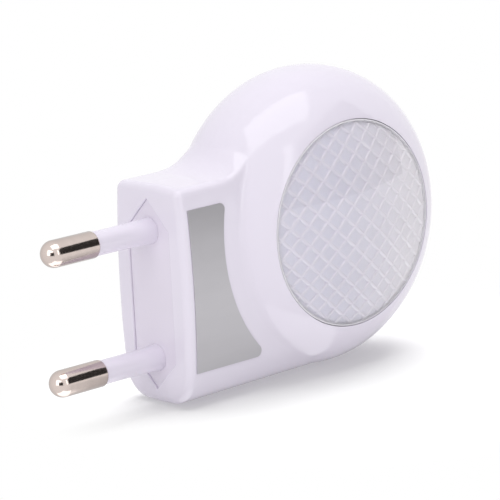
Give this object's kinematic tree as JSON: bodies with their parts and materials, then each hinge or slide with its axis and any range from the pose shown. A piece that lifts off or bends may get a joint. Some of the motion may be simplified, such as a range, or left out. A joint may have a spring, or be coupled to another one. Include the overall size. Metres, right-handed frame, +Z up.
{
  "type": "plug in night light",
  "caption": "Plug-in night light: flat-sided neck with a two-pin plug, round head with a domed diamond-cut lens on each side and a 5 V outlet at the far end.",
  "frame": {"origin": "midway between the two pins, on the face of the plug insert", "axes": "-X the way the pins point, +X towards the head, +Y out of the right lens, +Z up along the line that joins the pins"},
  "size_m": [0.0731, 0.0262, 0.0456],
  "materials": {
    "casing_white": "glossy moulded white",
    "insert_white": "smooth moulded white",
    "sleeve_white": "smooth moulded white",
    "pin_nickel": "bright nickel plate",
    "lens_frost": "translucent, diamond cut",
    "label_silver": "satin foil, bare",
    "reflector_white": "matt white",
    "board_green": "solder resist",
    "led_yellow": "phosphor under clear resin",
    "brass": "bare sheet brass",
    "ferrite_grey": "dull sintered ferrite",
    "bobbin_cream": "moulded nylon",
    "tape_yellow": "polyester tape over copper wire",
    "can_black": "shrink sleeve",
    "disc_blue": "dipped epoxy",
    "chip_black": "moulded epoxy",
    "resistor_grey": "flameproof lacquer",
    "outlet_steel": "tinned steel sheet",
    "outlet_white": "moulded white",
    "photocell_face": "lacquered cell",
    "window_smoke": "clear, polished"
  },
  "bodies": {
    "root": {"bridge_rectifier": "chip_black", "contact_lower": "brass", "contact_upper": "brass", "control_chip": "chip_black", "fusible_resistor": "resistor_grey", "input_capacitor": "can_black", "led_board_left": "board_green", "led_board_right": "board_green", "leds_left": "led_yellow", "leds_right": "led_yellow", "lens_left": "lens_frost", "lens_right": "lens_frost", "link_pins_left": "brass", "link_pins_right": "brass", "main_board": "board_green", "output_capacitor": "can_black", "output_diode": "chip_black", "photocell": "photocell_face", "photocell_window": "window_smoke", "pin_sleeve_lower": "sleeve_white", "pin_sleeve_upper": "sleeve_white", "plug_insert": "insert_white", "plug_pin_lower": "pin_nickel", "plug_pin_upper": "pin_nickel", "rating_label": "label_silver", "reflector_left": "reflector_white", "reflector_right": "reflector_white", "safety_capacitor": "disc_blue", "shell_left": "casing_white", "shell_right": "casing_white", "standoffs_left": "outlet_white", "standoffs_right": "outlet_white", "transformer_bobbin": "bobbin_cream", "transformer_core": "ferrite_grey", "transformer_winding": "tape_yellow", "usb_contacts": "brass", "usb_shell": "outlet_steel", "usb_tongue": "outlet_white"}
  },
  "joints": []
}
